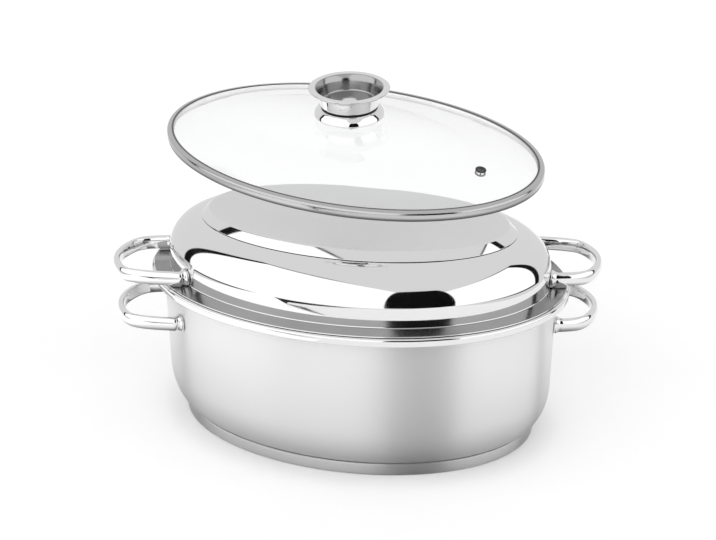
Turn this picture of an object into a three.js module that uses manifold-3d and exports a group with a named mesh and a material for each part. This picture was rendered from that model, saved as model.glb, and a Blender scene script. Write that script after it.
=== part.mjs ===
// Oval roaster in three loose pieces: a deep pan, a shallow pan turned over on it as a cover, and a glass lid
// with a cup-shaped knob held above them. Millimetres, +Z up, X along the oval, -Y towards the front.
// The origin is on the table, under the middle of the pan's base.
import * as THREE from 'three';
import { mergeVertices } from 'three/addons/utils/BufferGeometryUtils.js';
import Module from 'manifold-3d';

const wasm = await Module();
wasm.setup();

// Sheet, clearances and fineness
const SHEET = 1.2;
const GAP = 0.3;
const OVAL_STEPS = 48;
const ROUND_STEPS = 28;
const ARC_STEPS = 5;

// Deep pan: oval of the rim, insets measured inwards from that oval, heights above the table
const RIM_HALF_LENGTH = 190;
const RIM_HALF_WIDTH = 126;
const WALL_INSET = 11;
const BASE_INSET = 21;
const BASE_HEIGHT = 11.5;
const BASE_END_TAPER = 0.35;
const CORNER_TOP = 50;
const CORNER_INSET = 25;
const PAN_RIM_TOP = 148.5;
const LIP_HEIGHT = 7;

// Shallow pan, upside down on the rim
const COVER_RIM = PAN_RIM_TOP + 0.4;
const COVER_EDGE_INSET = 2.5;
const COVER_WALL_INSET = 17;
const SHOULDER_START = 164;
const SHOULDER_INSET = 50;
const COVER_TOP = 195.5;
const COVER_BASE_INSET = 47.5;
const COVER_BASE_HEIGHT = 6.6;
const BEVEL = 7.5;

// Handles: loops of flattened rod lying level, on a line turned a little from the oval's length
const PAN_HANDLE_HEIGHT = 112;
const HANDLE_TURN = THREE.MathUtils.degToRad(12);
const HANDLE_TIP = 215.5;
const HANDLE_HALF_SPREAD = 35;
const HANDLE_ARM = 4;
const ROD_HEIGHT = 13;
const ROD_THICKNESS = 6.5;
const HANDLE_STEPS = 24;
const ROD_HALF_SIDES = 7;
const FOOT_WIDTH = 12;
const FOOT_HEIGHT = 14;
const FOOT_THICKNESS = 2;
const FOOT_CORNER = 4;
const COVER_HANDLE_HEIGHT = COVER_RIM + SHEET + GAP + FOOT_HEIGHT / 2;

// Glass lid: oval of its steel band, arch of the glass, and where it is held
const LID_HALF_LENGTH = 176;
const LID_HALF_WIDTH = 118;
const BAND_HEIGHT = 8;
const BAND_LAP = 6;
const GLASS = 4;
const GLASS_EDGE = 5.6;
const GLASS_SHOULDER = 4.4;
const GLASS_SHOULDER_END = 36;
const GLASS_CROWN = 33;
const LID_CENTRE = new THREE.Vector3(-10.8, 20, 255);
const LID_TILT = THREE.MathUtils.degToRad(4.5);
const LID_LEAN = THREE.MathUtils.degToRad(0.7);
const LID_TURN = THREE.MathUtils.degToRad(-15);
const VENT_INSET = 39;
const VENT_ANGLE = THREE.MathUtils.degToRad(-15);
const VENT_HOLE = 3.3;
const VENT_FLANGE = 4.6;
const VENT_BORE = 1.8;

// Knob, turned about the lid's middle
const STUD_HOLE = 4.5;
const STUD = 3.5;
const GASKET_RADIUS = 14;
const SKIRT_RADIUS = 30.8;
const NECK_RADIUS = 25.5;
const CUP_RADIUS = 35;
const CUP_MOUTH = 29.3;
const CUP_FLARE = 2.5;
const KNOB_START = GLASS_CROWN + 1.6;
const SKIRT_HEIGHT = 7.6;
const SEAM_HEIGHT = 1;
const CUP_HEIGHT = 15.6;
const CUP_WALL = 1.3;
const CUP_FLOOR = 1.6;

const satinSteel = new THREE.MeshStandardMaterial({ color: 0xc9cacb, roughness: 0.32, metalness: 1 });
const polishedSteel = new THREE.MeshStandardMaterial({ color: 0xd6d7d8, roughness: 0.06, metalness: 1 });
const aluminium = new THREE.MeshStandardMaterial({ color: 0xb9bbbd, roughness: 0.45, metalness: 1 });
const silicone = new THREE.MeshStandardMaterial({ color: 0x1b1b1c, roughness: 0.6, metalness: 0 });
const glass = new THREE.MeshStandardMaterial({
  color: 0xe9f1ef, roughness: 0.02, metalness: 0, transparent: true, opacity: 0.35,
});

// Turns every triangle over if the closed surface faces inwards
function faceOut(geometry) {
  const position = geometry.getAttribute('position');
  const index = geometry.getIndex();
  const [a, b, c] = [new THREE.Vector3(), new THREE.Vector3(), new THREE.Vector3()];
  let volume = 0;
  for (let i = 0; i < index.count; i += 3) {
    a.fromBufferAttribute(position, index.getX(i));
    b.fromBufferAttribute(position, index.getX(i + 1));
    c.fromBufferAttribute(position, index.getX(i + 2));
    volume += a.dot(b.cross(c));
  }
  if (volume < 0) {
    const flipped = [...index.array];
    flipped.reverse();
    geometry.setIndex(flipped);
  }
  return geometry;
}

// Keeps only positions, with shared corners merged and empty triangles dropped
function weld(geometry) {
  geometry.deleteAttribute('normal');
  geometry.deleteAttribute('uv');
  const merged = mergeVertices(geometry, 1e-4);
  const index = merged.getIndex().array;
  const kept = [];
  for (let i = 0; i < index.length; i += 3) {
    const [a, b, c] = index.slice(i, i + 3);
    if (a !== b && b !== c && c !== a) {
      kept.push(a, b, c);
    }
  }
  merged.setIndex(kept);
  return faceOut(merged);
}

// Round solid about Z from a profile of [radius, height] points
function turned(profile, steps = ROUND_STEPS) {
  const points = profile.map(([radius, height]) => new THREE.Vector2(radius, height));
  return weld(new THREE.LatheGeometry(points, steps).rotateX(Math.PI / 2));
}

// Oval solid from a profile of [inset, height] points, the inset measured inwards from the oval. An inset of
// the whole half length is the axis. The ends can taper faster than the sides below the wall.
function oval(profile, halfLength, halfWidth, endTaper = 0, taperFrom = 0) {
  const points = profile.map(([inset, height]) => new THREE.Vector2(halfLength - inset, height));
  const geometry = new THREE.LatheGeometry(points, OVAL_STEPS).rotateX(Math.PI / 2);
  const position = geometry.getAttribute('position');
  const core = 0.7 * halfLength;
  for (let i = 0; i < position.count; i += 1) {
    const [x, y] = [position.getX(i), position.getY(i)];
    const radius = Math.max(Math.hypot(x, y), core);
    const inset = halfLength - radius;
    const endInset = inset + endTaper * Math.max(0, inset - taperFrom);
    position.setX(i, (x * (halfLength - endInset)) / radius);
    position.setY(i, (y * (halfWidth - inset)) / radius);
  }
  return weld(geometry);
}

const panOval = (profile) => oval(profile, RIM_HALF_LENGTH, RIM_HALF_WIDTH, BASE_END_TAPER, WALL_INSET);
const coverOval = (profile) => oval(profile, RIM_HALF_LENGTH, RIM_HALF_WIDTH);
const lidOval = (profile) => oval(profile, LID_HALF_LENGTH, LID_HALF_WIDTH);

// Quarter of an ellipse in the profile, level at the first point and upright at the last
function corner([levelInset, levelHeight], [wallInset, wallHeight]) {
  const points = [];
  for (let i = 0; i <= ARC_STEPS; i += 1) {
    const angle = (i / ARC_STEPS) * (Math.PI / 2);
    const inset = levelInset + (wallInset - levelInset) * Math.sin(angle);
    const height = wallHeight + (levelHeight - wallHeight) * Math.cos(angle);
    points.push([inset, height]);
  }
  return points;
}

function solidFrom(geometry) {
  return new wasm.Manifold(new wasm.Mesh({
    numProp: 3,
    vertProperties: new Float32Array(geometry.getAttribute('position').array),
    triVerts: new Uint32Array(geometry.getIndex().array),
  }));
}

function geometryFrom(solid) {
  const mesh = solid.getMesh();
  const geometry = new THREE.BufferGeometry();
  geometry.setAttribute('position', new THREE.BufferAttribute(mesh.vertProperties, 3));
  geometry.setIndex([...mesh.triVerts]);
  return geometry;
}

function addPiece(group, name, geometry, material) {
  const mesh = new THREE.Mesh(geometry, material);
  mesh.name = name;
  group.add(mesh);
  return mesh;
}

// Deep pan shell: floor, rounded corner, upright wall, rolled-out rim with its edge turned down
function panShell() {
  const axis = RIM_HALF_LENGTH;
  const floor = BASE_HEIGHT + GAP;
  const inside = WALL_INSET + SHEET;
  const under = PAN_RIM_TOP - SHEET;
  const lip = PAN_RIM_TOP - LIP_HEIGHT;
  const outside = corner([CORNER_INSET, floor], [WALL_INSET, CORNER_TOP]);
  const inner = corner([CORNER_INSET, floor + SHEET], [inside, CORNER_TOP]).reverse();
  return panOval([
    [axis, floor],
    ...outside,
    [WALL_INSET, under - 3.7],
    [WALL_INSET - 0.8, under - 1.1],
    [WALL_INSET - 2.8, under],
    [SHEET + 1.4, under],
    [SHEET, under - 1.3],
    [SHEET, lip],
    [0, lip],
    [0, PAN_RIM_TOP - 2.2],
    [0.7, PAN_RIM_TOP - 0.6],
    [2.2, PAN_RIM_TOP],
    [inside - 4, PAN_RIM_TOP],
    [inside - 1, PAN_RIM_TOP - 1.1],
    [inside, PAN_RIM_TOP - 4],
    ...inner,
    [axis, floor + SHEET],
  ]);
}

// Steel capsule of the deep pan's base, an oval dish that the aluminium core fills
function panBaseCapsule() {
  const axis = RIM_HALF_LENGTH;
  return panOval([
    [axis, 0],
    [BASE_INSET + 2, 0],
    [BASE_INSET + 0.5, 0.6],
    [BASE_INSET, 2],
    [BASE_INSET, BASE_HEIGHT],
    [BASE_INSET + SHEET, BASE_HEIGHT],
    [BASE_INSET + SHEET, 2.4],
    [BASE_INSET + SHEET + 1.2, SHEET],
    [axis, SHEET],
  ]);
}

function panBaseCore() {
  const axis = RIM_HALF_LENGTH;
  const side = BASE_INSET + SHEET + GAP;
  return panOval([
    [axis, SHEET + GAP],
    [side + 1.3, SHEET + GAP],
    [side, 2.8],
    [side, BASE_HEIGHT],
    [axis, BASE_HEIGHT],
  ]);
}

// Shallow pan shell, upside down: flat rim, short wall, wide rounded shoulder and flat floor on top
function coverShell() {
  const axis = RIM_HALF_LENGTH;
  const inside = COVER_WALL_INSET + SHEET;
  const flange = COVER_RIM + SHEET;
  const edge = COVER_EDGE_INSET;
  const under = corner([SHOULDER_INSET, COVER_TOP - SHEET], [inside, SHOULDER_START]);
  const over = corner([SHOULDER_INSET, COVER_TOP], [COVER_WALL_INSET, SHOULDER_START]).reverse();
  return coverOval([
    [axis, COVER_TOP - SHEET],
    ...under,
    [inside, COVER_RIM + 2],
    [inside - 0.6, COVER_RIM + 0.6],
    [inside - 2, COVER_RIM],
    [edge + 0.4, COVER_RIM],
    [edge, COVER_RIM + 0.4],
    [edge, flange - 0.4],
    [edge + 0.4, flange],
    [COVER_WALL_INSET - 0.8, flange],
    [COVER_WALL_INSET - 0.2, flange + 0.2],
    [COVER_WALL_INSET, flange + 0.8],
    ...over,
    [axis, COVER_TOP],
  ]);
}

// Capsule of the shallow pan's base: bevelled edge and flat disc, uppermost here
function coverBaseCapsule() {
  const axis = RIM_HALF_LENGTH;
  const bottom = COVER_TOP + GAP;
  const top = bottom + COVER_BASE_HEIGHT;
  return coverOval([
    [axis, top - SHEET],
    [COVER_BASE_INSET + BEVEL + 1, top - SHEET],
    [COVER_BASE_INSET + 1.4, bottom],
    [COVER_BASE_INSET, bottom],
    [COVER_BASE_INSET + 0.2, bottom + 0.6],
    [COVER_BASE_INSET + BEVEL - 0.5, top - 0.4],
    [COVER_BASE_INSET + BEVEL + 0.6, top],
    [axis, top],
  ]);
}

function coverBaseCore() {
  const axis = RIM_HALF_LENGTH;
  const bottom = COVER_TOP + GAP;
  const top = bottom + COVER_BASE_HEIGHT - SHEET - GAP;
  return coverOval([
    [axis, bottom],
    [COVER_BASE_INSET + 2.6, bottom],
    [COVER_BASE_INSET + BEVEL + 1.7, top],
    [axis, top],
  ]);
}

// Where a foot meets an oval wall, at a distance across from the handle's middle line, and the way out of it
function footOn(wallInset, across) {
  const halfLength = RIM_HALF_LENGTH - wallInset;
  const halfWidth = RIM_HALF_WIDTH - wallInset;
  const [lengthAcross, widthAcross] = [halfLength * Math.sin(HANDLE_TURN), halfWidth * Math.cos(HANDLE_TURN)];
  const middle = Math.atan2(lengthAcross, widthAcross);
  const angle = middle + Math.asin(across / Math.hypot(lengthAcross, widthAcross));
  const point = new THREE.Vector3(halfLength * Math.cos(angle), halfWidth * Math.sin(angle), 0);
  const out = new THREE.Vector3(point.x / halfLength ** 2, point.y / halfWidth ** 2, 0).normalize();
  return { point, out };
}

// Loop of flattened rod from one foot round to the other, in its own level plane
function handleLoop(feet) {
  const [near, far] = feet.map(({ point, out }) => {
    const start = point.clone().addScaledVector(out, 2 * GAP + FOOT_THICKNESS);
    return [start, start.clone().addScaledVector(out, HANDLE_ARM)];
  });
  const bend = [
    [HANDLE_TIP - 16, -HANDLE_HALF_SPREAD + 3],
    [HANDLE_TIP - 4, -HANDLE_HALF_SPREAD + 18],
    [HANDLE_TIP, 0],
    [HANDLE_TIP - 4, HANDLE_HALF_SPREAD - 18],
    [HANDLE_TIP - 16, HANDLE_HALF_SPREAD - 3],
  ];
  const up = new THREE.Vector3(0, 0, 1);
  const loop = bend.map(([along, across]) => {
    const level = new THREE.Vector3(along, across, 0);
    return level.applyAxisAngle(up, HANDLE_TURN);
  });
  const path = new THREE.CatmullRomCurve3([...near, ...loop, ...far.reverse()]);
  const section = new THREE.Shape();
  section.absellipse(0, 0, ROD_HEIGHT / 2, ROD_THICKNESS / 2, 0, 2 * Math.PI);
  return weld(new THREE.ExtrudeGeometry(section, {
    steps: HANDLE_STEPS, curveSegments: ROD_HALF_SIDES, extrudePath: path, bevelEnabled: false,
  }));
}

// Flattened foot plate, standing on the wall with its face square to the rod's end
function footPlate() {
  const [w, h, r] = [FOOT_WIDTH / 2, FOOT_HEIGHT / 2, FOOT_CORNER];
  const outline = new THREE.Shape();
  outline.absarc(w - r, h - r, r, 0, Math.PI / 2);
  outline.absarc(r - w, h - r, r, Math.PI / 2, Math.PI);
  outline.absarc(r - w, r - h, r, Math.PI, 1.5 * Math.PI);
  outline.absarc(w - r, r - h, r, 1.5 * Math.PI, 2 * Math.PI);
  const plate = new THREE.ExtrudeGeometry(outline, {
    depth: FOOT_THICKNESS, curveSegments: 3, bevelEnabled: false,
  });
  return weld(plate.rotateX(Math.PI / 2).rotateZ(Math.PI / 2));
}

// Both handles of one pan, each a loop and two feet, turned half round for the left end
function addHandles(group, pan, wallInset, height) {
  const signs = [-1, 1];
  const feet = signs.map((sign) => footOn(wallInset, sign * HANDLE_HALF_SPREAD));
  for (const side of ['right', 'left']) {
    const end = new THREE.Group();
    end.position.z = height;
    end.rotation.z = side === 'right' ? 0 : Math.PI;
    addPiece(end, `${pan}_handle_${side}`, handleLoop(feet), polishedSteel);
    feet.forEach(({ point, out }, index) => {
      const front = (signs[index] < 0) === (side === 'right');
      const name = `${pan}_foot_${side}_${front ? 'front' : 'back'}`;
      const plate = addPiece(end, name, footPlate(), polishedSteel);
      plate.position.copy(point).addScaledVector(out, GAP);
      plate.rotation.z = Math.atan2(out.y, out.x);
    });
    group.add(end);
  }
}

// Height of the glass's upper face: a low shoulder that rises from the band, on an arch up to the crown
function glassHeight(inset) {
  const share = Math.min(1, Math.max(0, (inset - BAND_LAP) / (GLASS_SHOULDER_END - BAND_LAP)));
  const shoulder = GLASS_SHOULDER * (1 - (1 - share) ** 2);
  const arch = GLASS_CROWN - GLASS_EDGE - GLASS_SHOULDER;
  return GLASS_EDGE + shoulder + arch * (1 - (1 - inset / LID_HALF_LENGTH) ** 2);
}

function glassTop() {
  const crown = LID_HALF_LENGTH;
  const insets = [SHEET + 0.4, BAND_LAP, 12, 22, GLASS_SHOULDER_END, 55, 80, 112];
  insets.push(crown - SKIRT_RADIUS, crown);
  return insets.map((inset) => [inset, glassHeight(inset)]);
}

function lidGlass() {
  const top = glassTop();
  const under = top.map(([inset, height]) => [inset, height - GLASS]).reverse();
  const stud = new THREE.CylinderGeometry(STUD_HOLE, STUD_HOLE, 6 * GLASS, ROUND_STEPS);
  stud.rotateX(Math.PI / 2).translate(0, 0, GLASS_CROWN);
  const vent = new THREE.CylinderGeometry(VENT_HOLE, VENT_HOLE, 6 * GLASS, ROUND_STEPS);
  vent.rotateX(Math.PI / 2).applyMatrix4(ventPlace());
  const holes = [solidFrom(weld(stud)), solidFrom(weld(vent))];
  const whole = solidFrom(lidOval([...under, ...top]));
  return geometryFrom(whole.subtract(holes[0]).subtract(holes[1]));
}

function lidRimBand() {
  const [h, lap] = [BAND_HEIGHT, BAND_LAP];
  return lidOval([
    [1, 0],
    [0, 1.2],
    [0, h - 1.2],
    [0.4, h - 0.3],
    [1.4, h],
    [lap, h + 0.6],
    [lap, h - 0.4],
    [1.6, h - 1.1],
    [SHEET, h - 1.6],
    [SHEET, 1.6],
    [1.6, SHEET],
    [lap, SHEET],
    [lap, 0],
    [1, 0],
  ]);
}

// Middle of the glass's thickness at the vent, square to the face between the profile points beside it
function ventPlace() {
  const top = glassTop();
  const next = top.findIndex((point) => point[0] > VENT_INSET);
  const [[i0, h0], [i1, h1]] = [top[next - 1], top[next]];
  const height = h0 + ((h1 - h0) * (VENT_INSET - i0)) / (i1 - i0);
  const [a, b] = [LID_HALF_LENGTH - VENT_INSET, LID_HALF_WIDTH - VENT_INSET];
  const [x, y] = [a * Math.cos(VENT_ANGLE), b * Math.sin(VENT_ANGLE)];
  const outward = Math.atan2(y / b ** 2, x / a ** 2);
  const slope = Math.atan2(h1 - h0, i1 - i0);
  const place = new THREE.Matrix4().makeRotationZ(outward);
  place.multiply(new THREE.Matrix4().makeRotationY(slope));
  return place.setPosition(x, y, height - GLASS / 2);
}

// Rolled steel eyelet of the vent, its flanges just clear of the glass, about its own middle
function ventEyelet() {
  const half = GLASS / 2;
  return turned([
    [VENT_BORE, -half - 1],
    [VENT_FLANGE, -half - 1],
    [VENT_FLANGE, -half - 0.5],
    [VENT_HOLE - 0.4, -half - 0.4],
    [VENT_HOLE - 0.4, half + 0.5],
    [VENT_FLANGE, half + 0.5],
    [VENT_FLANGE, half + 1],
    [VENT_FLANGE - 1, half + 1.4],
    [VENT_BORE + 0.6, half + 1.3],
    [VENT_BORE, half + 0.8],
    [VENT_BORE, -half - 1],
  ], 20);
}

const ring = (inner, outer, bottom, top) => turned([
  [inner, bottom], [outer, bottom], [outer, top], [inner, top], [inner, bottom],
]);

// Cone-shaped foot of the knob
function knobSkirt() {
  const [bottom, top] = [KNOB_START, KNOB_START + SKIRT_HEIGHT];
  return turned([
    [STUD_HOLE, bottom],
    [SKIRT_RADIUS - 0.8, bottom],
    [SKIRT_RADIUS, bottom + 0.8],
    [SKIRT_RADIUS - 0.5, bottom + 3],
    [NECK_RADIUS + 2, top - 1],
    [NECK_RADIUS + 0.4, top],
    [STUD_HOLE, top],
    [STUD_HOLE, bottom],
  ]);
}

// Open cup of the knob, a little wider upwards, with a rolled-out lip
function knobCup() {
  const bottom = KNOB_START + SKIRT_HEIGHT + SEAM_HEIGHT + 2 * GAP;
  const top = bottom + CUP_HEIGHT;
  const floor = bottom + CUP_FLOOR;
  const inside = NECK_RADIUS - CUP_WALL;
  return turned([
    [STUD_HOLE, bottom],
    [NECK_RADIUS - 0.6, bottom],
    [NECK_RADIUS, bottom + 0.6],
    [NECK_RADIUS + CUP_FLARE, top - 5],
    [NECK_RADIUS + CUP_FLARE + 1.6, top - 3.2],
    [CUP_RADIUS - 1.5, top - 2],
    [CUP_RADIUS, top - 1.2],
    [CUP_RADIUS - 0.6, top - 0.3],
    [CUP_RADIUS - 2, top],
    [CUP_MOUTH + 0.8, top],
    [CUP_MOUTH - 0.6, top - 0.6],
    [inside + CUP_FLARE, top - 3.6],
    [inside, floor + 1.5],
    [inside - 1.5, floor],
    [STUD_HOLE, floor],
    [STUD_HOLE, bottom],
  ]);
}

// Screw that holds the knob: domed head on the cup's floor, shank down through the glass
function knobScrew() {
  const seat = KNOB_START + SKIRT_HEIGHT + SEAM_HEIGHT + 3 * GAP + CUP_FLOOR;
  const end = GLASS_CROWN - GLASS - 9;
  return turned([
    [0, end],
    [STUD - 0.6, end],
    [STUD, end + 0.6],
    [STUD, seat],
    [7, seat],
    [7, seat + 1.2],
    [5, seat + 2.2],
    [0, seat + 2.6],
  ], 24);
}

// Hexagon nut under the glass
function knobNut(bottom, height) {
  const outline = new THREE.Shape();
  for (let side = 0; side < 6; side += 1) {
    const angle = (side * Math.PI) / 3;
    const corner6 = new THREE.Vector2(8 * Math.cos(angle), 8 * Math.sin(angle));
    outline[side === 0 ? 'moveTo' : 'lineTo'](corner6.x, corner6.y);
  }
  outline.closePath();
  const bore = new THREE.Path();
  bore.absarc(0, 0, STUD + GAP, 0, 2 * Math.PI);
  outline.holes.push(bore);
  const nut = new THREE.ExtrudeGeometry(outline, { depth: height, curveSegments: 10, bevelEnabled: false });
  return weld(nut.translate(0, 0, bottom));
}

function buildPan() {
  const pan = new THREE.Group();
  addPiece(pan, 'pan_shell', panShell(), satinSteel);
  addPiece(pan, 'pan_base_core', panBaseCore(), aluminium);
  addPiece(pan, 'pan_base_capsule', panBaseCapsule(), satinSteel);
  addHandles(pan, 'pan', WALL_INSET, PAN_HANDLE_HEIGHT);
  return pan;
}

function buildCover() {
  const cover = new THREE.Group();
  addPiece(cover, 'cover_shell', coverShell(), polishedSteel);
  addPiece(cover, 'cover_base_core', coverBaseCore(), aluminium);
  addPiece(cover, 'cover_base_capsule', coverBaseCapsule(), satinSteel);
  addHandles(cover, 'cover', COVER_WALL_INSET, COVER_HANDLE_HEIGHT);
  return cover;
}

// The lid is built level about its band's lower edge, then held turned and tilted above the cover
function buildLid() {
  const lid = new THREE.Group();
  addPiece(lid, 'lid_glass', lidGlass(), glass);
  addPiece(lid, 'lid_rim_band', lidRimBand(), polishedSteel);
  const vent = addPiece(lid, 'lid_vent_eyelet', ventEyelet(), polishedSteel);
  vent.applyMatrix4(ventPlace());
  const seam = KNOB_START + SKIRT_HEIGHT + GAP;
  const gasket = ring(STUD_HOLE, GASKET_RADIUS, GLASS_CROWN + GAP, KNOB_START - GAP);
  addPiece(lid, 'knob_gasket', gasket, silicone);
  addPiece(lid, 'knob_skirt', knobSkirt(), polishedSteel);
  addPiece(lid, 'knob_seam_ring', ring(STUD_HOLE, NECK_RADIUS - 1, seam, seam + SEAM_HEIGHT), silicone);
  addPiece(lid, 'knob_cup', knobCup(), polishedSteel);
  addPiece(lid, 'knob_screw', knobScrew(), satinSteel);
  const below = GLASS_CROWN - GLASS - GAP;
  addPiece(lid, 'lid_under_gasket', ring(STUD_HOLE, GASKET_RADIUS, below - 1.4, below - 0.4), silicone);
  addPiece(lid, 'lid_under_washer', ring(STUD_HOLE, GASKET_RADIUS - 1, below - 2.9, below - 1.7), satinSteel);
  addPiece(lid, 'lid_under_nut', knobNut(below - 8, 4.8), satinSteel);
  lid.rotation.set(LID_TILT, LID_LEAN, LID_TURN, 'XYZ');
  lid.position.copy(LID_CENTRE);
  return lid;
}

const roaster = new THREE.Group();
roaster.add(buildPan(), buildCover(), buildLid());

export default roaster;
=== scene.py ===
"""Looks of the oval roaster: smooth steel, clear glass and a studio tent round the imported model.

Sizes are in millimetres, as in the CAD source, and become metres when a mesh is made.
The studio is in metres and degrees.
"""
import math

import bmesh
import bpy
from mathutils import Matrix, Vector
from mathutils.geometry import interpolate_bezier


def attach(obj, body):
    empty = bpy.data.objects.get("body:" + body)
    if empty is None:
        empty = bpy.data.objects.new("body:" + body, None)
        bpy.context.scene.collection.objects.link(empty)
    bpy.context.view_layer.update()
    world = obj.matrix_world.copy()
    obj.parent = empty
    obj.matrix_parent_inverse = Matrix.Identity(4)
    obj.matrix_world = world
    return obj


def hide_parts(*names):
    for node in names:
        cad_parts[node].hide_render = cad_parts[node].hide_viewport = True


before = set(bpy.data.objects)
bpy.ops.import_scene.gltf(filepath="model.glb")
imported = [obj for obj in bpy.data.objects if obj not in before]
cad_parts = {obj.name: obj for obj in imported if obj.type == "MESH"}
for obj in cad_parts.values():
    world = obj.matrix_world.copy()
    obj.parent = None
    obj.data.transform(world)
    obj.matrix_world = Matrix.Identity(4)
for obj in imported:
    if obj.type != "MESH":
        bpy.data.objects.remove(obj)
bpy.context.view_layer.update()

# Metres in a millimetre, steps of the meshes, and when an edge is sharp or a face looks up
MM = 0.001
AROUND = 240
TURNS = [2 * math.pi * step / AROUND for step in range(AROUND)]
ARC_STEPS = 14
FILLET_STEPS = 5
SHARP_ANGLE = math.radians(32)
FACING_UP = 0.9

# Deep pan: rim oval, then insets from it and heights above the table
RIM = (190.0, 126.0)
SHEET = 1.2
SHEET_ROUND = 0.5
GAP = 0.3
WALL_INSET = 11.0
BASE_INSET = 21.0
BASE_HEIGHT = 11.5
BASE_END_TAPER = 0.35
CORNER_TOP = 50.0
CORNER_INSET = 25.0
PAN_RIM_TOP = 148.5
LIP_HEIGHT = 7.0

# Shallow pan, upside down on the rim
COVER_RIM = PAN_RIM_TOP + 0.4
COVER_EDGE_INSET = 2.5
COVER_WALL_INSET = 17.0
SHOULDER_START = 164.0
SHOULDER_INSET = 50.0
COVER_TOP = 195.5
COVER_BASE_INSET = 47.5
COVER_BASE_HEIGHT = 6.6
BEVEL = 7.5

# Handles: loops of flattened rod on a line turned a little from the oval's length
FOOT = (12.0, 14.0)
FOOT_THICKNESS = 2.0
FOOT_LENGTH = 5.6
FOOT_MARGIN = 0.2
HANDLE_HEIGHTS = {"pan": 112.0, "cover": COVER_RIM + SHEET + GAP + FOOT[1] / 2}
WALL_INSETS = {"pan": WALL_INSET, "cover": COVER_WALL_INSET}
HANDLE_TURN = math.radians(12)
HANDLE_TIP = 215.5
HANDLE_HALF_SPREAD = 35.0
HANDLE_ARM = 4.0
HANDLE_STEPS = 8
ROD = (6.5, 13.0)
ROD_POWER = 2.3

# Glass lid and knob, about the lid's own level frame
LID = (176.0, 118.0)
LID_CENTRE = (-10.8, 20.0, 255.0)
LID_TILT, LID_LEAN, LID_TURN = (math.radians(angle) for angle in (4.5, 0.7, -15.0))
BAND_HEIGHT = 8.0
BAND_LAP = 6.0
GLASS = 4.0
GLASS_EDGE = 5.6
GLASS_SHOULDER = 4.4
GLASS_SHOULDER_END = 36.0
GLASS_CROWN = 33.0
VENT_INSET = 39.0
VENT_ANGLE = math.radians(-15)
VENT_HOLE = 3.3
VENT_FLANGE = 4.6
VENT_BORE = 1.8
STUD_HOLE = 4.5
SKIRT_RADIUS = 30.8
NECK_RADIUS = 25.5
CUP_RADIUS = 35.0
CUP_MOUTH = 29.3
CUP_FLARE = 2.5
KNOB_START = GLASS_CROWN + 1.6
SKIRT_HEIGHT = 7.6
SEAM_HEIGHT = 1.0
CUP_HEIGHT = 15.6
CUP_WALL = 1.3
CUP_FLOOR = 1.6
SCREW_RADIUS = 3.5
SCREW_HEAD = 7.0
SCREW_REACH = 9.0

# Camera: degrees, distance from the origin, and how far the origin lies from the middle of the view
CAMERA_AZIMUTH = 13.0
CAMERA_ELEVATION = 26.62
CAMERA_ROLL = -0.11
CAMERA_DISTANCE = 1236.6
CAMERA_OFFSET = (-0.56, -131.75)
LENS = 65.29
SENSOR = 36.0


# Profiles

def filleted(points):
    """Rounds the corners of a profile whose points have a third number, the length cut from each side."""
    rounded = []
    for index, point in enumerate(points):
        here = Vector(point[:2])
        cut = point[2] if len(point) > 2 else 0.0
        if cut == 0.0:
            rounded.append(tuple(here))
            continue
        before = (Vector(points[index - 1][:2]) - here).normalized() * cut + here
        after = (Vector(points[(index + 1) % len(points)][:2]) - here).normalized() * cut + here
        for step in range(FILLET_STEPS + 1):
            t = step / FILLET_STEPS
            bend = before * (1 - t) ** 2 + here * (2 * t * (1 - t)) + after * t ** 2
            rounded.append(tuple(bend))
    return rounded


def corner(level, upright):
    """Quarter of an ellipse, level at the first point and upright at the second."""
    points = []
    for step in range(ARC_STEPS + 1):
        angle = step / ARC_STEPS * math.pi / 2
        inset = level[0] + (upright[0] - level[0]) * math.sin(angle)
        height = upright[1] + (level[1] - upright[1]) * math.cos(angle)
        points.append((inset, height))
    return points


def spaced(start, end, steps):
    """Evenly spaced numbers from start to end."""
    return [start + (end - start) * step / steps for step in range(steps + 1)]


# Meshes

def oval_ring(oval, taper=0.0, taper_from=0.0):
    """Gives a function from an inset to the points of the oval there, one point on the axis."""
    core = 0.3 * oval[0]

    def ring(inset):
        if inset >= oval[0]:
            return [(0.0, 0.0)]
        edge = min(inset, oval[1] - core)
        shrink = min(1.0, (oval[0] - inset) / (oval[0] - edge))
        end = edge + taper * max(0.0, edge - taper_from)
        a = (oval[0] - end) * shrink
        b = (oval[1] - edge) * shrink
        return [(a * math.cos(turn), b * math.sin(turn)) for turn in TURNS]

    return ring


def round_ring(radius):
    """Points of a circle, one point on the axis."""
    if radius <= 0:
        return [(0.0, 0.0)]
    return [(radius * math.cos(turn), radius * math.sin(turn)) for turn in TURNS]


def swept(name, profile, ring, closed=False, place=Matrix()):
    """Closed mesh of a profile of (offset, height) carried round a ring, with a UV map in metres."""
    bm = bmesh.new()
    uv = bm.loops.layers.uv.new("around")
    rows = []
    for offset, height in profile:
        rows.append([bm.verts.new((x * MM, y * MM, height * MM)) for x, y in ring(offset)])
    lengths = [0.0]
    for start, end in zip(profile[:-1], profile[1:]):
        lengths.append(lengths[-1] + math.dist(start, end) * MM)
    if closed:
        rows.append(rows[0])
        lengths.append(lengths[-1] + math.dist(profile[-1], profile[0]) * MM)
    middle = ring(profile[len(profile) // 2][0])
    girth = sum(math.dist(start, end) for start, end in zip(middle[:-1], middle[1:])) * MM
    for low, high, low_v, high_v in zip(rows[:-1], rows[1:], lengths[:-1], lengths[1:]):
        for step in range(AROUND):
            corners = {}
            for row, turn, v in ((low, step, low_v), (low, step + 1, low_v),
                                 (high, step + 1, high_v), (high, step, high_v)):
                corners.setdefault(row[turn % len(row)], (turn / AROUND * girth, v))
            if len(corners) < 3:
                continue
            face = bm.faces.new(list(corners))
            for loop, point in zip(face.loops, corners.values()):
                loop[uv].uv = point
    return finished_mesh(name, bm, place)


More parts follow.
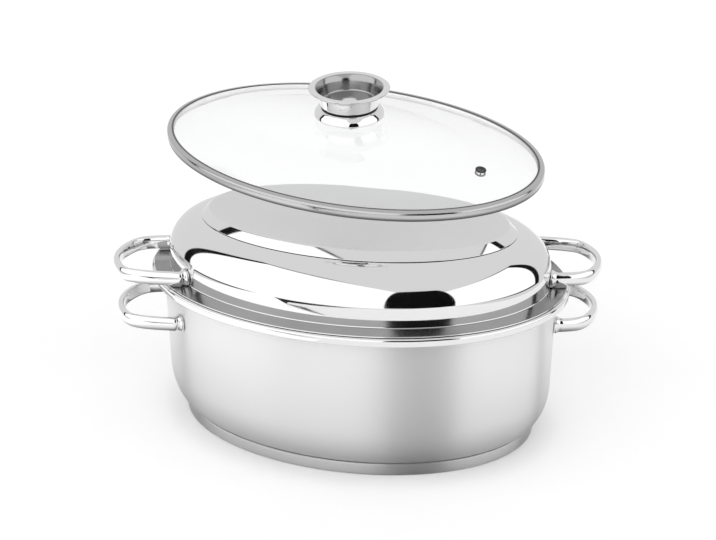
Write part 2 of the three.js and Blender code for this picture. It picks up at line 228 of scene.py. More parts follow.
def lofted(name, stations):
    """Closed mesh through outlines with the same number of points."""
    bm = bmesh.new()
    rows = [[bm.verts.new(Vector(point) * MM) for point in station] for station in stations]
    count = len(rows[0])
    for low, high in zip(rows[:-1], rows[1:]):
        for step in range(count):
            bm.faces.new([low[step], low[(step + 1) % count], high[(step + 1) % count], high[step]])
    bm.faces.new(rows[0])
    bm.faces.new(rows[-1])
    return finished_mesh(name, bm, Matrix())


def finished_mesh(name, bm, place):
    bmesh.ops.recalc_face_normals(bm, faces=bm.faces)
    bm.transform(place)
    mesh = bpy.data.meshes.new(name)
    bm.to_mesh(mesh)
    bm.free()
    mesh.shade_smooth()
    mesh.set_sharp_from_angle(angle=SHARP_ANGLE)
    return mesh


def add_piece(name, mesh, body, slot, material, *nodes):
    piece = bpy.data.objects.new(name, mesh)
    bpy.context.scene.collection.objects.link(piece)
    mesh.materials.append(material)
    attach(piece, body)
    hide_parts(*nodes)
    return piece


# Materials

class Nodes:
    """Short calls for the nodes of one tree."""

    def __init__(self, tree):
        self.tree = tree

    def add(self, kind, **settings):
        node = self.tree.nodes.new(kind)
        for name, value in settings.items():
            setattr(node, name, value)
        return node

    def put(self, socket, value):
        if isinstance(value, bpy.types.NodeSocket):
            self.tree.links.new(value, socket)
        else:
            socket.default_value = value

    def maths(self, operation, *values):
        node = self.add("ShaderNodeMath", operation=operation)
        for socket, value in zip(node.inputs, values):
            self.put(socket, value)
        return node.outputs[0]

    def ramp(self, value, low, high, start=0.0, end=1.0):
        node = self.add("ShaderNodeMapRange", interpolation_type="SMOOTHSTEP")
        for socket, number in zip(node.inputs, (value, low, high, start, end)):
            self.put(socket, number)
        return node.outputs[0]

    def chosen(self, switch, one, other):
        """The first value where the switch is one, otherwise the second."""
        node = self.add("ShaderNodeMix", data_type="FLOAT")
        self.put(node.inputs["Factor"], switch)
        self.put(node.inputs["A"], other)
        self.put(node.inputs["B"], one)
        return node.outputs["Result"]

    def grey(self, factor, start, end):
        """Grey from one level to another, by a factor."""
        node = self.add("ShaderNodeMix", data_type="RGBA")
        self.put(node.inputs["Factor"], factor)
        node.inputs["A"].default_value = (start, start, start, 1)
        node.inputs["B"].default_value = (end, end, end, 1)
        return node.outputs["Result"]

    def place(self):
        return self.add("ShaderNodeTexCoord").outputs["Object"]

    def noise(self, vector, scale, detail=4.0, roughness=0.55):
        node = self.add("ShaderNodeTexNoise")
        self.put(node.inputs["Vector"], vector)
        self.put(node.inputs["Scale"], scale)
        self.put(node.inputs["Detail"], detail)
        self.put(node.inputs["Roughness"], roughness)
        return node.outputs["Fac"]

    def stretched(self, vector, scale):
        node = self.add("ShaderNodeMapping")
        self.put(node.inputs["Vector"], vector)
        node.inputs["Scale"].default_value = scale
        return node.outputs["Vector"]

    def seen_rays(self):
        """One for rays that show the surroundings: from the camera, in metal and through glass."""
        path = self.add("ShaderNodeLightPath").outputs
        seen = self.maths("MAXIMUM", path["Is Camera Ray"], path["Is Transmission Ray"])
        return self.maths("MAXIMUM", seen, path["Is Glossy Ray"])

    def bump(self, height, strength, distance):
        node = self.add("ShaderNodeBump")
        self.put(node.inputs["Height"], height)
        node.inputs["Strength"].default_value = strength
        node.inputs["Distance"].default_value = distance
        return node.outputs["Normal"]


def new_material(name, **sockets):
    material = bpy.data.materials.new(name)
    material.use_nodes = True
    shader = material.node_tree.nodes["Principled BSDF"]
    for socket, value in sockets.items():
        shader.inputs[socket.replace("_", " ")].default_value = value
    return material, shader, Nodes(material.node_tree)


def polished_steel():
    """Mirror finish with faint wiping marks and the slight waviness of drawn sheet."""
    material, shader, nodes = new_material("polished_steel", Base_Color=(0.80, 0.80, 0.80, 1), Metallic=1.0)
    place = nodes.place()
    wiped = nodes.noise(nodes.stretched(place, (40, 40, 90)), 1.0, detail=5.0)
    nodes.put(shader.inputs["Roughness"], nodes.ramp(wiped, 0.3, 0.8, 0.025, 0.075))
    waves = nodes.noise(place, 26.0, detail=1.0)
    nodes.put(shader.inputs["Normal"], nodes.bump(waves, 0.02, 0.001))
    return material


def satin_steel():
    """Steel brushed round the pan: fine lines along the UV map's first direction."""
    material, shader, nodes = new_material("satin_steel", Base_Color=(0.96, 0.96, 0.96, 1), Metallic=1.0,
                                           Anisotropic=0.92, Anisotropic_Rotation=0.25)
    uv = nodes.add("ShaderNodeUVMap", uv_map="around").outputs["UV"]
    lines = nodes.noise(nodes.stretched(uv, (8, 2600, 1)), 1.0, detail=6.0, roughness=0.7)
    nodes.put(shader.inputs["Roughness"], nodes.ramp(lines, 0.25, 0.75, 0.42, 0.5))
    nodes.put(shader.inputs["Normal"], nodes.bump(lines, 0.05, 0.0002))
    tangent = nodes.add("ShaderNodeTangent", direction_type="UV_MAP", uv_map="around")
    nodes.put(shader.inputs["Tangent"], tangent.outputs["Tangent"])
    return material


def dull_steel_painted_dark(name, dark, light):
    """Duller steel whose colour is painted dark, for the shade and dark reflections where it is used."""
    material, shader, nodes = new_material(name, Metallic=1.0)
    place = nodes.place()
    clouds = nodes.noise(place, 18.0, detail=3.0)
    nodes.put(shader.inputs["Base Color"], nodes.grey(clouds, dark, light))
    grain = nodes.noise(place, 700.0)
    nodes.put(shader.inputs["Roughness"], nodes.ramp(grain, 0.3, 0.7, 0.14, 0.22))
    nodes.put(shader.inputs["Normal"], nodes.bump(grain, 0.03, 0.0002))
    return material


def band_steel():
    """Rolled steel of the lid's band, with painted dark reflections along its lower fold and painted shade
    where it laps the glass.
    """
    fold_start, fold_end = 2.4 * MM, 5.0 * MM
    lap_start, lap_end = 12.0 * MM, 13.0 * MM
    material, shader, nodes = new_material("band_steel", Metallic=1.0)
    uv = nodes.add("ShaderNodeSeparateXYZ")
    nodes.put(uv.inputs[0], nodes.add("ShaderNodeUVMap", uv_map="around").outputs["UV"])
    along_profile = uv.outputs["Y"]
    # Painted dark reflections in the lower fold and painted shade at the edge that laps the glass
    fold_painted_dark = nodes.ramp(along_profile, fold_start, fold_end, 1.0, 0.0)
    lap_edge_painted_dark = nodes.ramp(along_profile, lap_start, lap_end)
    darker = nodes.maths("MAXIMUM", fold_painted_dark, lap_edge_painted_dark)
    nodes.put(shader.inputs["Base Color"], nodes.grey(darker, 0.52, 0.12))
    grain = nodes.noise(nodes.place(), 300.0)
    nodes.put(shader.inputs["Roughness"], nodes.ramp(grain, 0.3, 0.7, 0.1, 0.18))
    return material


def matt_disc():
    """Blasted finish of the flat base disc."""
    material, shader, nodes = new_material("matt_disc", Base_Color=(0.80, 0.80, 0.80, 1), Metallic=1.0)
    place = nodes.place()
    grain = nodes.noise(place, 1800.0, detail=2.0)
    clouds = nodes.noise(place, 14.0, detail=3.0)
    nodes.put(shader.inputs["Roughness"], nodes.ramp(clouds, 0.3, 0.7, 0.42, 0.5))
    nodes.put(shader.inputs["Normal"], nodes.bump(grain, 0.12, 0.0003))
    return material


def clear_glass():
    """Clear tempered glass with faint wiping marks."""
    material, shader, nodes = new_material("clear_glass", Base_Color=(0.985, 0.995, 0.99, 1), IOR=1.48,
                                           Transmission_Weight=1.0, Coat_Weight=1.0,
                                           Sheen_Weight=0.5, Sheen_Roughness=0.4)
    wiped = nodes.noise(nodes.place(), 30.0, detail=5.0)
    nodes.put(shader.inputs["Roughness"], nodes.ramp(wiped, 0.35, 0.8, 0.0, 0.03))
    return material


def black_silicone():
    material, shader, nodes = new_material("black_silicone", Base_Color=(0.012, 0.012, 0.013, 1))
    grain = nodes.noise(nodes.place(), 900.0)
    nodes.put(shader.inputs["Roughness"], nodes.ramp(grain, 0.3, 0.7, 0.45, 0.65))
    nodes.put(shader.inputs["Normal"], nodes.bump(grain, 0.1, 0.0002))
    return material


def cast_aluminium():
    material, shader, nodes = new_material("aluminium", Base_Color=(0.7, 0.71, 0.72, 1), Metallic=1.0)
    grain = nodes.noise(nodes.place(), 500.0)
    nodes.put(shader.inputs["Roughness"], nodes.ramp(grain, 0.3, 0.7, 0.4, 0.6))
    nodes.put(shader.inputs["Normal"], nodes.bump(grain, 0.15, 0.0003))
    return material


POLISHED = polished_steel()
SATIN = satin_steel()
# These three are painted dark, for the shade and dark reflections on the cover's seat, inside the knob's cup
# and on the vent's eyelet
SEAT_PAINTED_DARK = dull_steel_painted_dark("seat_steel_painted_dark", 0.26, 0.36)
CUP_PAINTED_DARK = dull_steel_painted_dark("cup_steel_painted_dark", 0.34, 0.46)
EYELET_PAINTED_DARK = dull_steel_painted_dark("eyelet_steel_painted_dark", 0.05, 0.10)
BAND_STEEL = band_steel()
MATT_DISC = matt_disc()
CLEAR_GLASS = clear_glass()
SILICONE = black_silicone()
ALUMINIUM = cast_aluminium()


# Deep pan

def pan_ring(inset):
    return oval_ring(RIM, BASE_END_TAPER, WALL_INSET)(inset)


def make_pan_shell():
    """Brushed shell whose turned-down rim is polished outside the wall."""
    axis = RIM[0]
    floor = BASE_HEIGHT + GAP
    inside = WALL_INSET + SHEET
    under = PAN_RIM_TOP - SHEET
    lip = PAN_RIM_TOP - LIP_HEIGHT
    outside = corner((CORNER_INSET, floor), (WALL_INSET, CORNER_TOP))
    inner = corner((CORNER_INSET, floor + SHEET), (inside, CORNER_TOP))
    profile = [(axis, floor), *outside, (WALL_INSET, under, 3.4), (SHEET, under, 1.2),
               (SHEET, lip, SHEET_ROUND), (0, lip, SHEET_ROUND), (0, PAN_RIM_TOP, 2.2),
               (inside, PAN_RIM_TOP, 4), *reversed(inner), (axis, floor + SHEET)]
    mesh = swept("pan_shell_smooth", filleted(profile), pan_ring)
    add_piece("pan_shell_smooth", mesh, "pan", "satin_steel", SATIN, "pan_shell")
    mesh.materials.append(POLISHED)
    a, b = (half * MM - WALL_INSET * MM for half in RIM)
    for face in mesh.polygons:
        x, y, z = face.center
        outside_wall = (x / a) ** 2 + (y / b) ** 2 > 1
        face.material_index = int(outside_wall and z > (lip - GAP) * MM)


def make_pan_base():
    axis = RIM[0]
    side = BASE_INSET + SHEET
    profile = [(axis, 0), (BASE_INSET, 0, 1.8), (BASE_INSET, BASE_HEIGHT, SHEET_ROUND), (side, BASE_HEIGHT),
               (side, SHEET, 1.2), (axis, SHEET)]
    mesh = swept("pan_base_smooth", filleted(profile), pan_ring)
    add_piece("pan_base_smooth", mesh, "pan", "satin_steel", SATIN, "pan_base_capsule")


# Shallow pan used as the cover

def cover_ring(inset):
    return oval_ring(RIM)(inset)


def make_cover_shell():
    """Polished shell with a duller flat rim, painted dark for its shade and dark reflections. A row over the
    fillet keeps its shading off the wall.
    """
    axis = RIM[0]
    inside = COVER_WALL_INSET + SHEET
    flange = COVER_RIM + SHEET
    fillet, row_over_fillet = 1.0, flange + 1.5
    edge = COVER_EDGE_INSET
    under = corner((SHOULDER_INSET, COVER_TOP - SHEET), (inside, SHOULDER_START))
    over = corner((SHOULDER_INSET, COVER_TOP), (COVER_WALL_INSET, SHOULDER_START))
    profile = [(axis, COVER_TOP - SHEET), *under, (inside, COVER_RIM, 2), (edge, COVER_RIM, SHEET_ROUND),
               (edge, flange, SHEET_ROUND), (COVER_WALL_INSET, flange, fillet),
               (COVER_WALL_INSET, row_over_fillet), *reversed(over), (axis, COVER_TOP)]
    mesh = swept("cover_shell_smooth", filleted(profile), cover_ring)
    add_piece("cover_shell_smooth", mesh, "cover", "polished_steel", POLISHED, "cover_shell")
    # The flat rim gets painted shade: dark steel standing in for shade and dark reflections
    mesh.materials.append(SEAT_PAINTED_DARK)
    for face in mesh.polygons:
        level = abs(face.center.z - flange * MM) < GAP * MM
        face.material_index = int(level and face.normal.z > FACING_UP)


def make_cover_base():
    """Blasted disc with a polished bevel."""
    axis = RIM[0]
    bottom = COVER_TOP + GAP
    top = bottom + COVER_BASE_HEIGHT
    edge = COVER_BASE_INSET
    inner_edge, inner_top = edge + 1.4, edge + BEVEL + 1
    flat_limit = 0.97
    profile = [(axis, top - SHEET), (inner_top, top - SHEET), (inner_edge, bottom),
               (edge, bottom, SHEET_ROUND), (edge + BEVEL, top, 1.2), (axis, top)]
    mesh = swept("cover_base_smooth", filleted(profile), cover_ring)
    add_piece("cover_base_smooth", mesh, "cover", "satin_steel", MATT_DISC, "cover_base_capsule")
    mesh.materials.append(POLISHED)
    for face in mesh.polygons:
        face.material_index = int(face.normal.z < flat_limit)


# Handles

def foot_on(wall_inset, across):
    """Where a foot meets the oval wall, so far across from the handle's middle line, and the way out."""
    a, b = RIM[0] - wall_inset, RIM[1] - wall_inset
    length_across, width_across = a * math.sin(HANDLE_TURN), b * math.cos(HANDLE_TURN)
    middle = math.atan2(length_across, width_across)
    angle = middle + math.asin(across / math.hypot(length_across, width_across))
    point = Vector((a * math.cos(angle), b * math.sin(angle), 0))
    out = Vector((point.x / a ** 2, point.y / b ** 2, 0)).normalized()
    return point, out


def smooth_path(points, steps):
    """Points of a curve that passes through the given ones, each stretch a Bezier between neighbours."""
    path = []
    for index in range(len(points) - 1):
        here, there = points[index], points[index + 1]
        before = points[max(index - 1, 0)]
        after = points[min(index + 2, len(points) - 1)]
        reach = (there - here).length / 3
        leave = here + (there - before).normalized() * reach
        arrive = there - (after - here).normalized() * reach
        path += interpolate_bezier(here, leave, arrive, there, steps)[:-1]
    return path + [points[-1]]


def handle_path(pan):
    """Level loop from one foot to the other, as points."""
    ends = []
    for across in (-HANDLE_HALF_SPREAD, HANDLE_HALF_SPREAD):
        point, out = foot_on(WALL_INSETS[pan], across)
        start = point + out * (2 * GAP + FOOT_THICKNESS)
        ends.append([start, start + out * HANDLE_ARM])
    half = [(HANDLE_TIP - 16, 3 - HANDLE_HALF_SPREAD), (HANDLE_TIP - 4, 18 - HANDLE_HALF_SPREAD)]
    bend = half + [(HANDLE_TIP, 0)] + [(along, -across) for along, across in reversed(half)]
    turn = Matrix.Rotation(HANDLE_TURN, 3, "Z")
    loop = [turn @ Vector((along, across, 0)) for along, across in bend]
    return smooth_path(ends[0] + loop + ends[1][::-1], HANDLE_STEPS)


def oval_outline(centre, side, half_width, half_height, power, count=32):
    """Upright outline between an ellipse, at a power of two, and a rectangle."""
    points = []
    for step in range(count):
        turn = 2 * math.pi * step / count
        c, s = math.cos(turn), math.sin(turn)
        across = half_width * math.copysign(abs(c) ** (2 / power), c)
        up = half_height * math.copysign(abs(s) ** (2 / power), s)
        points.append(centre + side * across + Vector((0, 0, up)))
    return points


def turned_end(points, side, height):
    """Moves level points to a handle's height, turned half round for the left end."""
    spin = Matrix.Rotation(0 if side == "right" else math.pi, 3, "Z")
    return [spin @ p + Vector((0, 0, height)) for p in points]


def make_handle(pan, side):
    """Loop of flattened rod."""
    path = handle_path(pan)
    stations = []
    for index, point in enumerate(path):
        ahead = path[min(index + 1, len(path) - 1)] - path[max(index - 1, 0)]
        across = Vector((-ahead.y, ahead.x, 0)).normalized()
        outline = oval_outline(point, across, ROD[0] / 2, ROD[1] / 2, ROD_POWER)
        stations.append(turned_end(outline, side, HANDLE_HEIGHTS[pan]))
    node = f"{pan}_handle_{side}"
    add_piece(node + "_rod", lofted(node + "_rod", stations), pan, "polished_steel", POLISHED, node)


def make_foot(pan, side, front):
    """Foot plate that flares into the rod."""
    # Distances from the wall, and how much of the plate is left there
    flare = [(GAP, 0.94), (GAP + 0.5, 1), (1.6, 1), (2.1, 0.94), (2.7, 0.62), (3.4, 0.34), (4.3, 0.13),
             (5.2, 0.03), (FOOT_LENGTH, 0)]
    sign = -1 if front == (side == "right") else 1
    point, out = foot_on(WALL_INSETS[pan], sign * HANDLE_HALF_SPREAD)
    across = Vector((-out.y, out.x, 0))
    stations = []
    for distance, share in flare:
        halves = [(rod + (foot - rod) * share) / 2 + FOOT_MARGIN for rod, foot in zip(ROD, FOOT)]
        outline = oval_outline(point + out * distance, across, *halves, ROD_POWER + share)
        stations.append(turned_end(outline, side, HANDLE_HEIGHTS[pan]))
    node = f"{pan}_foot_{side}_{'front' if front else 'back'}"
    add_piece(node + "_flare", lofted(node + "_flare", stations), pan, "polished_steel", POLISHED, node)


# Glass lid

LID_PLACE = (Matrix.Translation(Vector(LID_CENTRE) * MM) @ Matrix.Rotation(LID_TILT, 4, "X")
             @ Matrix.Rotation(LID_LEAN, 4, "Y") @ Matrix.Rotation(LID_TURN, 4, "Z"))


def lid_ring(inset):
    return oval_ring(LID)(inset)


def keep_out_of_reflections(piece):
    """The cover doesn't mirror the lid held above it."""
    piece.visible_glossy = False


def glass_height(inset):
    """Height of the glass's upper face: a low shoulder rising from the band, on an arch up to the crown."""
    share = min(1.0, max(0.0, (inset - BAND_LAP) / (GLASS_SHOULDER_END - BAND_LAP)))
    shoulder = GLASS_SHOULDER * (1 - (1 - share) ** 2)
    arch = GLASS_CROWN - GLASS_EDGE - GLASS_SHOULDER
    return GLASS_EDGE + shoulder + arch * (1 - (1 - inset / LID[0]) ** 2)


def make_glass():
    """Domed sheet with closer rows near its edge, drilled for the knob's screw and the vent."""
    close_rows_end = 30.0
    in_the_band = [1.6, 3, 4.5]
    insets = in_the_band + spaced(BAND_LAP, close_rows_end, 16) + spaced(close_rows_end, LID[0], 24)[1:]
    top = [(inset, glass_height(inset)) for inset in insets]
    under = [(inset, height - GLASS) for inset, height in top]
    mesh = swept("lid_glass_smooth", list(reversed(under)) + top, lid_ring, place=LID_PLACE)
    piece = add_piece("lid_glass_smooth", mesh, "lid", "glass", CLEAR_GLASS, "lid_glass")
    stud_place = LID_PLACE @ Matrix.Translation((0, 0, GLASS_CROWN * MM))
    for radius, place in [(STUD_HOLE, stud_place), (VENT_HOLE, LID_PLACE @ vent_place())]:
        drill(piece, radius, place)
    keep_out_of_reflections(piece)


def drill(piece, radius, place):
    """Cuts a round hole through the glass, along the third axis of a place in its middle."""
    reach = 2 * GLASS
    through = [(0, -reach), (radius, -reach), (radius, reach), (0, reach)]
    bit = bpy.data.objects.new("bit", swept("bit", through, round_ring, place=place))
    bpy.context.scene.collection.objects.link(bit)
    cut = piece.modifiers.new("hole", "BOOLEAN")
    cut.object = bit
    drilled = piece.evaluated_get(bpy.context.evaluated_depsgraph_get())
    mesh = bpy.data.meshes.new_from_object(drilled)
    mesh.set_sharp_from_angle(angle=SHARP_ANGLE)
    piece.modifiers.clear()
    piece.data = mesh
    bpy.data.objects.remove(bit)


def make_rim_band():
    """Band folded over and under the glass's edge."""
    h, lap = BAND_HEIGHT, BAND_LAP
    profile = [(0, 0, 1.6), (0, h, 2.2), (lap, h + 0.6, 0.4), (lap, h - 0.4, 0.3), (SHEET, h - 1.2, 0.4),
               (SHEET, SHEET, 0.4), (lap, SHEET, 0.3), (lap, 0, 0.4)]
    mesh = swept("lid_rim_band_smooth", filleted(profile), lid_ring, closed=True, place=LID_PLACE)
    piece = add_piece("lid_rim_band_smooth", mesh, "lid", "polished_steel", BAND_STEEL, "lid_rim_band")
    keep_out_of_reflections(piece)


def make_turned(name, node, profile, slot, material, closed=True, place=LID_PLACE):
    """Round piece of the lid, turned about the third axis of its place."""
    mesh = swept(name, filleted(profile), round_ring, closed=closed, place=place)
    return add_piece(name, mesh, "lid", slot, material, node)


def vent_place():
    """Middle of the glass's thickness at the vent, square to its face."""
    a, b = LID[0] - VENT_INSET, LID[1] - VENT_INSET
    x, y = a * math.cos(VENT_ANGLE), b * math.sin(VENT_ANGLE)
    outward = math.atan2(y / b ** 2, x / a ** 2)
    slope = math.atan(glass_height(VENT_INSET + 0.5) - glass_height(VENT_INSET - 0.5))
    middle = Vector((x, y, glass_height(VENT_INSET) - GLASS / 2)) * MM
    return Matrix.Translation(middle) @ Matrix.Rotation(outward, 4, "Z") @ Matrix.Rotation(slope, 4, "Y")


def make_eyelet():
    """Eyelet of the vent, with a flat flange under the glass and a rounded one over it."""
    half = GLASS / 2
    bore, flange, neck = VENT_BORE, VENT_FLANGE, VENT_HOLE - 0.4
    under = [(bore, -half - 1, 0.3), (flange, -half - 1, 0.2), (flange, -half - 0.5), (neck, -half - 0.4)]
    over = [(neck, half + 0.5), (flange, half + 0.5), (flange, half + 1.1, 0.3),
            (flange - 1.5, half + 1.5, 0.5), (bore, half + 0.9, 0.4)]
    # The steel eyelet is painted near black, for its dark reflections and the shade in the vent
    eyelet = make_turned("vent_eyelet_smooth", "lid_vent_eyelet", under + over, "polished_steel",
                         EYELET_PAINTED_DARK, place=LID_PLACE @ vent_place())
    keep_out_of_reflections(eyelet)


def paint_inside_dark(cup, radius):
    """Paints the wall and floor inside the cup dark, as the shade and dark reflections in the hollow."""
    facing_in = 0.3
    cup.data.materials.append(CUP_PAINTED_DARK)
    level = LID_PLACE.inverted()
    turn = level.to_3x3()
    for face in cup.data.polygons:
        middle = level @ face.center
        facing = turn @ face.normal
        from_axis = math.hypot(middle.x, middle.y)
        inwards = facing.x * middle.x + facing.y * middle.y < -facing_in * from_axis
        floor = facing.z > FACING_UP and from_axis < radius * MM
        face.material_index = int(inwards or floor)


def make_knob():
    """Skirt, seam ring and cup, one on the other, and the screw that goes through them."""
    bottom, top = KNOB_START, KNOB_START + SKIRT_HEIGHT
    skirt = [(STUD_HOLE, bottom), (SKIRT_RADIUS, bottom, 0.8), (SKIRT_RADIUS - 0.5, bottom + 3, 2),
             (NECK_RADIUS + 1.2, top, 1.8), (STUD_HOLE, top)]
    make_turned("knob_skirt_smooth", "knob_skirt", skirt, "polished_steel", POLISHED)
    seam = top + GAP
    ring = [(STUD_HOLE, seam), (NECK_RADIUS - 1, seam, 0.2), (NECK_RADIUS - 1, seam + SEAM_HEIGHT, 0.2),
            (STUD_HOLE, seam + SEAM_HEIGHT)]
    make_turned("knob_seam_smooth", "knob_seam_ring", ring, "silicone", SILICONE)
    base = seam + SEAM_HEIGHT + GAP
    rim = base + CUP_HEIGHT
    floor = base + CUP_FLOOR
    inside = NECK_RADIUS - CUP_WALL
    cup = [(STUD_HOLE, base), (NECK_RADIUS, base, 0.7), (NECK_RADIUS + CUP_FLARE, rim - 4, 2),
           (CUP_RADIUS, rim - 1.8, 1.4), (CUP_RADIUS, rim, 0.9), (CUP_MOUTH, rim, 1),
           (inside + CUP_FLARE, rim - 3.6, 2), (inside, floor, 1.5), (STUD_HOLE, floor)]
    # Painted shade: the inside of the cup is darker than the outside
    paint_inside_dark(make_turned("knob_cup_smooth", "knob_cup", cup, "polished_steel", POLISHED), inside)
    seat = floor + GAP
    tail = GLASS_CROWN - GLASS - SCREW_REACH
    screw = [(0, tail), (SCREW_RADIUS, tail, 0.6), (SCREW_RADIUS, seat), (SCREW_HEAD, seat, 0.3),
             (SCREW_HEAD, seat + 1.4, 0.8), (SCREW_HEAD - 2.5, seat + 2.4, 1), (0, seat + 2.6)]
    make_turned("knob_screw_smooth", "knob_screw", screw, "satin_steel", POLISHED, closed=False)


def dress_hidden_nodes():
    """Finishes of the CAD nodes that stay as they are."""
    finishes = [(ALUMINIUM, ("pan_base_core", "cover_base_core")),
                (SILICONE, ("knob_gasket", "lid_under_gasket")),
                (POLISHED, ("lid_under_washer", "lid_under_nut"))]
    for material, names in finishes:
        for name in names:
            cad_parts[name].data.materials[0] = material


# Studio

PANELS_MEET = 26.0


def stage_sheet(name, corners, material):
    """Flat piece of the studio."""
    mesh = bpy.data.meshes.new(name)
    mesh.from_pydata(corners, [], [tuple(range(len(corners)))])
    mesh.materials.append(material)
    sheet = bpy.data.objects.new(name, mesh)
    bpy.context.scene.collection.objects.link(sheet)
    return sheet


def floor_paper():
    """White paper with a painted shadow round the pan: the lift to white fades out near it, and metal
    mirrors darker paper there.

    The shadow and the lift go by a reach from the middle that is one at the pan's rim.
    """
    paper, shadow, lifted = 0.95, 0.14, 0.15
    shadow_start, shadow_end = 0.85, 2.2
    lift_start, lift_end = 0.8, 1.05
    material, shader, nodes = new_material("floor_sheet", Roughness=0.9, Specular_IOR_Level=0.0,
                                           Emission_Color=(1, 1, 1, 1))
    place = nodes.place()
    nodes.put(shader.inputs["Normal"], nodes.bump(nodes.noise(place, 300.0), 0.03, 0.0005))
    reach = nodes.add("ShaderNodeVectorMath", operation="LENGTH")
    nodes.put(reach.inputs[0], nodes.stretched(place, (1 / (RIM[0] * MM), 1 / (RIM[1] * MM), 0)))
    reach = reach.outputs["Value"]
    glossy = nodes.add("ShaderNodeLightPath").outputs["Is Glossy Ray"]
    # Painted shadow: glossy rays see darker paper near the pan
    shade = nodes.maths("MULTIPLY", glossy, nodes.ramp(reach, shadow_start, shadow_end, 1.0, 0.0))
    nodes.put(shader.inputs["Base Color"], nodes.grey(shade, paper, shadow))
    # Painted contact shadow: the lift to white fades out close to the pan
    lift = nodes.ramp(reach, lift_start, lift_end, 0.0, lifted)
    lift = nodes.maths("MULTIPLY", lift, nodes.maths("SUBTRACT", 1.0, shade))
    nodes.put(shader.inputs["Emission Strength"], nodes.maths("MULTIPLY", nodes.seen_rays(), lift))
    return material


def make_floor():
    """Sheet that the roaster stands on."""
    side, front, back = 0.55, -0.75, 3.0
    corners = [(-side, front, 0), (side, front, 0), (side, back, 0), (-side, back, 0)]
    stage_sheet("floor", corners, floor_paper())


def direction_to(azimuth, elevation):
    """Unit vector at degrees from the front towards +X, and above the level."""
    turn, rise = math.radians(azimuth), math.radians(elevation)
    return Vector((math.sin(turn) * math.cos(rise), -math.cos(turn) * math.cos(rise), math.sin(rise)))


def below_line(nodes, direction, low, far):
    """Degrees below the straight upper edge of a panel through two directions."""
    across = low.cross(far).normalized()
    if across.z > 0:
        across.negate()
    node = nodes.add("ShaderNodeVectorMath", operation="DOT_PRODUCT")
    nodes.put(node.inputs[0], direction)
    node.inputs[1].default_value = across
    return nodes.maths("DEGREES", nodes.maths("ARCSINE", node.outputs["Value"]))


def make_tent():
    """Studio tent: two white panels in dark frames that meet in front, grey above and behind."""
    left_edge, left_low, left_far = -88.0, direction_to(12, 41), direction_to(-86, 63)
    right_edge, right_low, right_far = 110.0, direction_to(39.5, 35), direction_to(115.5, 48)
    panel_foot, side_frame, top_frame, foot_frame = -13.0, 8.0, 1.2, 3.0
    narrow_end, full_start, narrow_share = 18.0, 70.0, 0.1
    panel_blur, frame_blur = 0.6, 0.8
    white, grey, black = 1.3, 0.82, 0.01
    world = bpy.data.worlds.new("tent")
    bpy.context.scene.world = world
    world.use_nodes = True
    nodes = Nodes(world.node_tree)
    direction = nodes.add("ShaderNodeTexCoord").outputs["Generated"]
    parts = nodes.add("ShaderNodeSeparateXYZ")
    nodes.put(parts.inputs[0], direction)
    forward = nodes.maths("MULTIPLY", parts.outputs["Y"], -1.0)
    azimuth = nodes.maths("DEGREES", nodes.maths("ARCTAN2", parts.outputs["X"], forward))
    elevation = nodes.maths("DEGREES", nodes.maths("ARCSINE", parts.outputs["Z"]))
    on_left = nodes.maths("LESS_THAN", azimuth, PANELS_MEET)
    aside = nodes.maths("ABSOLUTE", nodes.maths("SUBTRACT", azimuth, PANELS_MEET))
    widening = nodes.ramp(aside, narrow_end, full_start, narrow_share, 1.0)
    from_side = nodes.chosen(on_left, nodes.maths("SUBTRACT", azimuth, left_edge),
                             nodes.maths("SUBTRACT", right_edge, azimuth))
    from_top = nodes.chosen(on_left, below_line(nodes, direction, left_low, left_far),
                            below_line(nodes, direction, right_low, right_far))
    from_foot = nodes.maths("SUBTRACT", elevation, panel_foot)
    edges = [(from_side, side_frame), (from_top, nodes.maths("MULTIPLY", widening, top_frame)),
             (from_foot, nodes.maths("MULTIPLY", widening, foot_frame))]
    panel = framed = 1.0
    for inside, frame_width in edges:
        within_frame = nodes.maths("ADD", inside, frame_width)
        panel = nodes.maths("MULTIPLY", panel, nodes.ramp(inside, -panel_blur, panel_blur))
        framed = nodes.maths("MULTIPLY", framed, nodes.ramp(within_frame, -frame_blur, frame_blur))
    level = nodes.maths("MULTIPLY_ADD", framed, black - grey, grey)
    tent = nodes.maths("MULTIPLY_ADD", panel, white - black, level)
    path = nodes.add("ShaderNodeLightPath").outputs
    seen = nodes.maths("MAXIMUM", path["Is Camera Ray"], path["Is Transmission Ray"])
    background = world.node_tree.nodes["Background"]
    background.inputs["Color"].default_value = (1, 1, 1, 1)
    nodes.put(background.inputs["Strength"], nodes.chosen(seen, 1.0, tent))


def make_card(name, corners, dark, light):
    """Flat card with a fine weave between two levels of brightness, seen only in the metal."""
    material, shader, nodes = new_material(name, Roughness=1.0, Specular_IOR_Level=0.0,
                                           Base_Color=(0, 0, 0, 1), Emission_Color=(1, 1, 1, 1))
    weave = nodes.ramp(nodes.noise(nodes.place(), 400.0), 0.0, 1.0, dark, light)
    nodes.put(shader.inputs["Emission Strength"], weave)
    card = stage_sheet(name, corners, material)
    for ray in ("camera", "diffuse", "transmission", "shadow"):
        setattr(card, "visible_" + ray, False)


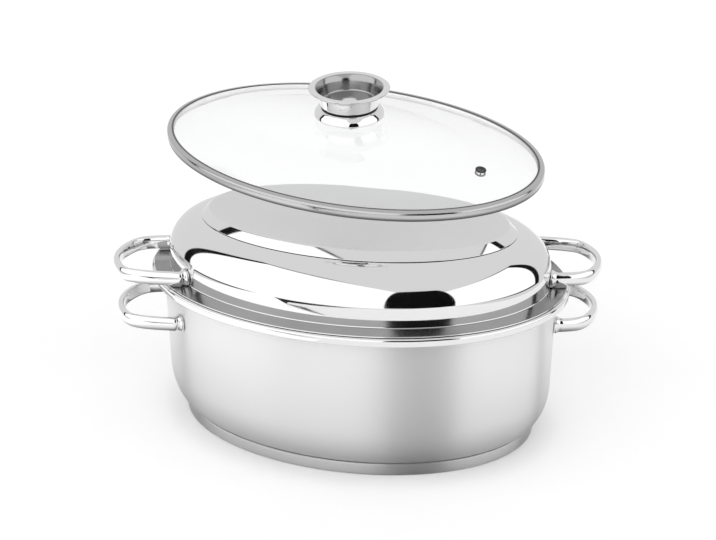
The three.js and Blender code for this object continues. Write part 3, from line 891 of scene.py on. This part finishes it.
def make_dark_opening():
    """Black card with rounded sides, standing on the floor where the panels meet."""
    distance, half_width, half_top, top = 0.9, 0.25, 0.14, 0.86
    middle = direction_to(PANELS_MEET, 0) * distance
    aside = direction_to(PANELS_MEET + 90, 0)
    side = corner((half_top, top), (half_width, 0))
    outline = side + [(-across, height) for across, height in reversed(side)]
    corners = [middle + aside * across + Vector((0, 0, height)) for across, height in outline]
    make_card("dark_opening", corners, 0.002, 0.008)


def make_side_sheet():
    """White sheet on the floor at the left, with a dark edge, a painted shadow on the floor, that widens
    towards the panels.
    """
    sheet_height, painted_shadow_height = 0.001, 0.002
    front = [(-0.075, -0.408), (-0.15, -0.41), (-0.215, -0.407), (-0.46, -0.7)]
    left_and_back = [(-0.55, -0.78), (-0.55, 0.3), (-0.32, 0.15)]
    near_the_pan = [(-0.33, -0.08), (-0.23, -0.26), (-0.075, -0.33)]
    edge = front + [(0.0, -0.75), (-0.26, -0.51), (-0.222, -0.422), (-0.152, -0.424)]
    sheet = front + left_and_back + near_the_pan
    make_card("side_sheet", [(x, y, sheet_height) for x, y in sheet], 1.25, 1.3)
    # Painted shadow: a dark card along the sheet's edge, seen only in the metal
    make_card("side_sheet_painted_shadow", [(x, y, painted_shadow_height) for x, y in edge], 0.01, 0.05)


def make_camera():
    """Camera in the place that was fitted to the photograph."""
    back = direction_to(CAMERA_AZIMUTH, CAMERA_ELEVATION)
    level = direction_to(CAMERA_AZIMUTH + 90, 0)
    upright = back.cross(level)
    roll = math.radians(CAMERA_ROLL)
    right = level * math.cos(roll) + upright * math.sin(roll)
    up = upright * math.cos(roll) - level * math.sin(roll)
    place = back * CAMERA_DISTANCE - right * CAMERA_OFFSET[0] - up * CAMERA_OFFSET[1]
    data = bpy.data.cameras.new("camera")
    data.sensor_width = SENSOR
    data.lens = LENS
    camera = bpy.data.objects.new("camera", data)
    bpy.context.scene.collection.objects.link(camera)
    turn = Matrix((right, up, back)).transposed().to_4x4()
    camera.matrix_world = Matrix.Translation(place * MM) @ turn
    bpy.context.scene.camera = camera


make_pan_shell()
make_pan_base()
make_cover_shell()
make_cover_base()
for pan in ("pan", "cover"):
    for side in ("left", "right"):
        make_handle(pan, side)
        for front in (True, False):
            make_foot(pan, side, front)
make_glass()
make_rim_band()
make_eyelet()
make_knob()
dress_hidden_nodes()
make_floor()
make_tent()
make_dark_opening()
make_side_sheet()
make_camera()
bpy.context.scene.view_settings.view_transform = "Standard"
